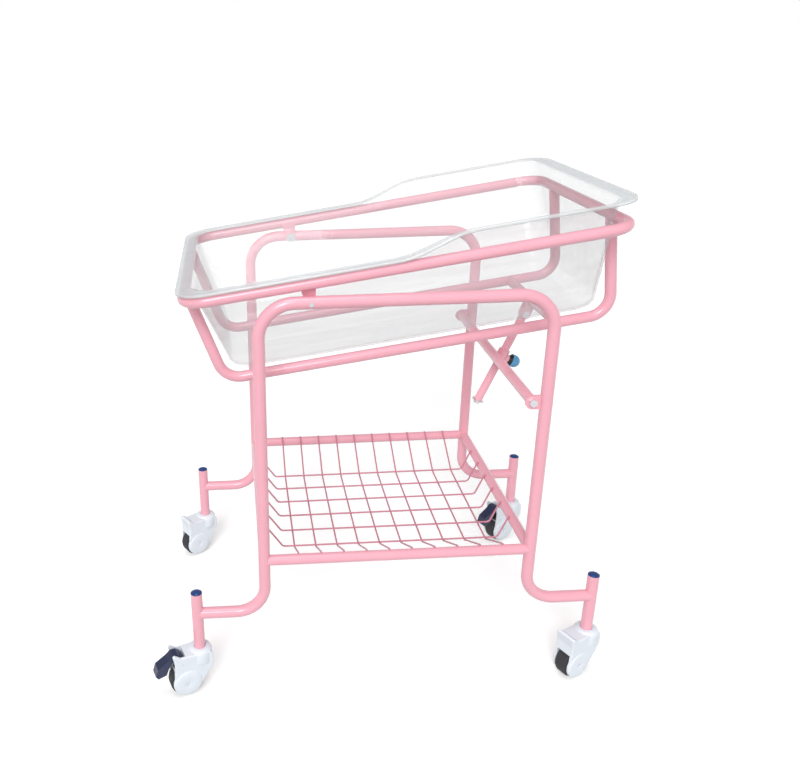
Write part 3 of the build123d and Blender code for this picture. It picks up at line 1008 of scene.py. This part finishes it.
@dataclass(kw_only=True)
class Castor(SubAssembly):
    """Hooded castor as packed, with a domed ring round each axle end and a round swivel housing."""

    corner: Corner
    cheek_out: float = 20.0
    ring_bore_r: float = 5.2
    ring_r: float = 27.5
    ring_rise: float = 2.4
    ring_dome: tuple[Place, ...] = ((0.95, 0.55), (0.85, 0.85), (0.6, 1.0), (0.3, 1.0))
    ring_dish: float = 0.6
    housing_bore_r: float = 11.5
    housing_r: float = 23.5
    housing_shoulder: float = 9.0
    housing_foot_z: float = 66.0
    housing_top_z: float = 97.5
    round_steps: int = 6
    sunk: float = 0.8

    def __post_init__(self) -> None:
        """Take the bodies that carry this corner's name: the hood's, the wheel's and a brake's."""
        self.bodies = tuple(body for body in self.kit.bodies if body.startswith(self.corner.value))

    def ring_profile(self) -> list[Place]:
        """Section of the domed ring on a cheek.

        Returns:
            Radii and distances from the wheel's middle, along the axle.
        """
        low, high = self.cheek_out - self.sunk, self.cheek_out + self.ring_rise
        foot = [(self.ring_bore_r, low), (self.ring_r, low)]
        dome = [(self.ring_r * out, self.cheek_out + self.ring_rise * up) for out, up in self.ring_dome]
        return [*foot, *dome, (self.ring_bore_r, high - self.ring_dish)]

    def housing_profile(self) -> list[Place]:
        """Section of the swivel housing, a drum about the swivel's axis with rounded rims.

        Returns:
            Radii and heights above the floor.
        """
        shoulder, foot_r = self.housing_shoulder, self.housing_shoulder / 2
        turns = [QUARTER * step / self.round_steps for step in range(self.round_steps + 1)]
        centre = (self.housing_r - foot_r, self.housing_foot_z + foot_r)
        foot = [(centre[0] + foot_r * math.sin(t), centre[1] - foot_r * math.cos(t)) for t in turns]
        centre = (self.housing_r - shoulder, self.housing_top_z - shoulder)
        top = [(centre[0] + shoulder * math.cos(t), centre[1] + shoulder * math.sin(t)) for t in turns]
        bore = [(self.housing_bore_r, self.housing_top_z), (self.housing_bore_r, self.housing_foot_z)]
        return foot + top + bore

    def build(self) -> None:
        """Build the hood's round mouldings and fix them to the castor."""
        swivel = self.kit.joints[f"{self.corner.value}_swivel"]
        spin = self.kit.joints[f"{self.corner.value}_spin"]
        body = spin["parent"]
        stem, hub = Vector(swivel["pos_m"]), Vector(spin["pos_m"])
        axle = Vector(spin["axis"]).normalized()
        bm = bmesh.new()
        for side in (-1, 1):
            revolve(bm, hub, axle * side, self.ring_profile())
        revolve(bm, Vector((stem.x, stem.y, 0)), Vector((0, 0, 1)), self.housing_profile())
        piece = mesh_piece(f"{body}_hood_trim", bm, self.kit.materials["white_hood"])
        piece.data.set_sharp_from_angle(angle=math.radians(TURNED_SHARP_DEG))
        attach(piece, body)
        LOG.info("built %s", piece.name)


@dataclass(kw_only=True)
class TiltStrut(SubAssembly):
    """Swivel tube, rod and knob as packed, with a skirt on the cap that hides the hub's outer half."""

    bodies: tuple[str, ...] = ("swivel", "strut", "clamp_knob")
    cap_start: float = 28.0
    skirt_reach: float = 6.5
    skirt_r: float = 12.7
    skirt_bore_r: float = 12.1
    skirt_rim: float = 0.6

    def skirt_profile(self) -> list[Place]:
        """Section of the skirt, a thin ring with chamfered rims.

        Returns:
            Radii and distances along the knob's screw, from the joint's place.
        """
        low, high = self.cap_start - self.skirt_reach, self.cap_start + self.skirt_rim
        return [
            (self.skirt_bore_r, low),
            (self.skirt_r - self.skirt_rim, low),
            (self.skirt_r, low + self.skirt_rim),
            (self.skirt_r, self.cap_start),
            (self.skirt_r - self.skirt_rim, high),
            (self.skirt_bore_r, high),
        ]

    def build(self) -> None:
        """Build the skirt and fix it to the knob."""
        joint = self.kit.joints["clamp_turn"]
        bm = bmesh.new()
        revolve(bm, Vector(joint["pos_m"]), Vector(joint["axis"]).normalized(), self.skirt_profile())
        piece = mesh_piece("knob_cap_skirt", bm, self.kit.materials["blue_knob"])
        piece.data.set_sharp_from_angle(angle=math.radians(TURNED_SHARP_DEG))
        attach(piece, joint["child"])
        LOG.info("built %s", piece.name)


@dataclass
class Studio:
    """Camera at the photograph's place, glowing floor, soft sun, top light and white sky."""

    camera_mm: tuple[float, float, float] = (-251.79, -1515.64, 1209.6)
    pitch: float = 0.375
    yaw: float = 0.031
    roll: float = -0.026
    focal_px: float = 825.93
    principal_px: Place = (262.1, 352.6)
    sensor_mm: float = 36.0
    clip_m: Place = (0.05, 50.0)
    key_direction: tuple[float, float, float] = (0.28, 1.0, -0.75)
    key_spread_deg: float = 24.0
    key_strength: float = 1.75
    top_m: tuple[float, float, float] = (-0.3, -0.6, 2.8)
    top_target_m: tuple[float, float, float] = (0.0, 0.0, 0.55)
    top_size_m: float = 1.2
    top_watts: float = 16.0
    sky_strength: float = 0.44
    sky_height: float = 0.34
    horizon_strength: float = 1.0
    horizon_height: float = 0.04
    floor_half_m: float = 60.0

    def camera(self) -> None:
        """Place the camera that the photograph was taken from."""
        width, height = IMAGE_SIZE
        level_reach = math.cos(self.pitch)
        ahead = (math.sin(self.yaw) * level_reach, math.cos(self.yaw) * level_reach)
        forward = Vector((*ahead, -math.sin(self.pitch)))
        level = Vector((math.cos(self.yaw), -math.sin(self.yaw), 0))
        upright = level.cross(forward)
        right = math.cos(self.roll) * level + math.sin(self.roll) * upright
        up = -math.sin(self.roll) * level + math.cos(self.roll) * upright
        data = bpy.data.cameras.new("photo_camera")
        data.sensor_fit = "HORIZONTAL"
        data.sensor_width = self.sensor_mm
        data.lens = self.focal_px / width * self.sensor_mm
        data.shift_x = (width / 2 - self.principal_px[0]) / width
        data.shift_y = (self.principal_px[1] - height / 2) / width
        data.clip_start, data.clip_end = self.clip_m
        camera = show("photo_camera", data)
        turn = Matrix((right, up, -forward)).transposed().to_4x4()
        camera.matrix_world = Matrix.Translation(Vector(self.camera_mm) * MM) @ turn
        bpy.context.scene.camera = camera

    def lamp(self, name: str, kind: str, strength: float, direction: Vector) -> bpy.types.Object:
        """Add one lamp.

        Args:
            name: its name.
            kind: Blender's name for the lamp type.
            strength: power in watts, or a sun's strength.
            direction: where its light goes.

        Returns:
            The lamp.
        """
        data = bpy.data.lights.new(name, kind)
        data.energy = strength
        lamp = show(name, data)
        lamp.rotation_euler = direction.to_track_quat("-Z", "Y").to_euler()
        return lamp

    def lights(self) -> None:
        """A soft sun from the front left, and a square light overhead."""
        key = self.lamp("key", "SUN", self.key_strength, Vector(self.key_direction))
        key.data.angle = math.radians(self.key_spread_deg)
        fall = Vector(self.top_target_m) - Vector(self.top_m)
        top = self.lamp("top", "AREA", self.top_watts, fall)
        top.data.size = self.top_size_m
        top.location = self.top_m

    def sky(self) -> None:
        """White surroundings, bright at the horizon and dimmer above and below it."""
        world = bpy.data.worlds.new("studio")
        world.use_nodes = True
        ray = add_node(world, "ShaderNodeTexCoord")
        axes = add_node(world, "ShaderNodeSeparateXYZ", links={0: ray.outputs["Generated"]})
        height = add_node(world, "ShaderNodeMath", links={0: axes.outputs["Z"]}, operation="ABSOLUTE")
        band = add_node(
            world,
            "ShaderNodeMapRange",
            inputs={
                "From Min": self.horizon_height,
                "From Max": self.sky_height,
                "To Min": self.horizon_strength,
                "To Max": self.sky_strength,
            },
            links={"Value": height.outputs["Value"]},
        )
        background = world.node_tree.nodes["Background"]
        background.inputs["Color"].default_value = (1.0, 1.0, 1.0, 1.0)
        world.node_tree.links.new(band.outputs["Result"], background.inputs["Strength"])
        bpy.context.scene.world = world
        bpy.context.scene.view_settings.view_transform = "Standard"

    def floor(self) -> None:
        """Lay a wide glowing floor under the castors."""
        half = self.floor_half_m
        mesh = bpy.data.meshes.new("studio_floor")
        corners = [(-half, -half, 0), (half, -half, 0), (half, half, 0), (-half, half, 0)]
        mesh.from_pydata(corners, [], [(0, 1, 2, 3)])
        mesh.materials.append(OpalAcrylic("opal_acrylic_sheet", Tint.FLOOR).material())
        floor = show("studio_floor", mesh)
        # Its glow would light the tubes and the hoods from below and wash out their shaded sides.
        floor.visible_diffuse = False

    def assemble(self) -> None:
        """Set up the whole studio."""
        self.camera()
        self.lights()
        self.sky()
        self.floor()
        LOG.info("studio ready")


def main(frame: dict) -> None:
    """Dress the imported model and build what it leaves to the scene.
    """
    logging.basicConfig(level=logging.INFO, format="%(name)s: %(message)s")
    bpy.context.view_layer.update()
    kit = Kit.opened(frame)
    cradle = Cradle(kit=kit)
    castors = [Castor(kit=kit, corner=corner) for corner in Corner]
    basin = Basin(kit=kit, cradle=cradle)
    for part in (Stand(kit=kit), cradle, basin, WireBasket(kit=kit), *castors, TiltStrut(kit=kit)):
        part.assemble()
    Studio().assemble()


if __name__ == "__main__":
    main(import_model())
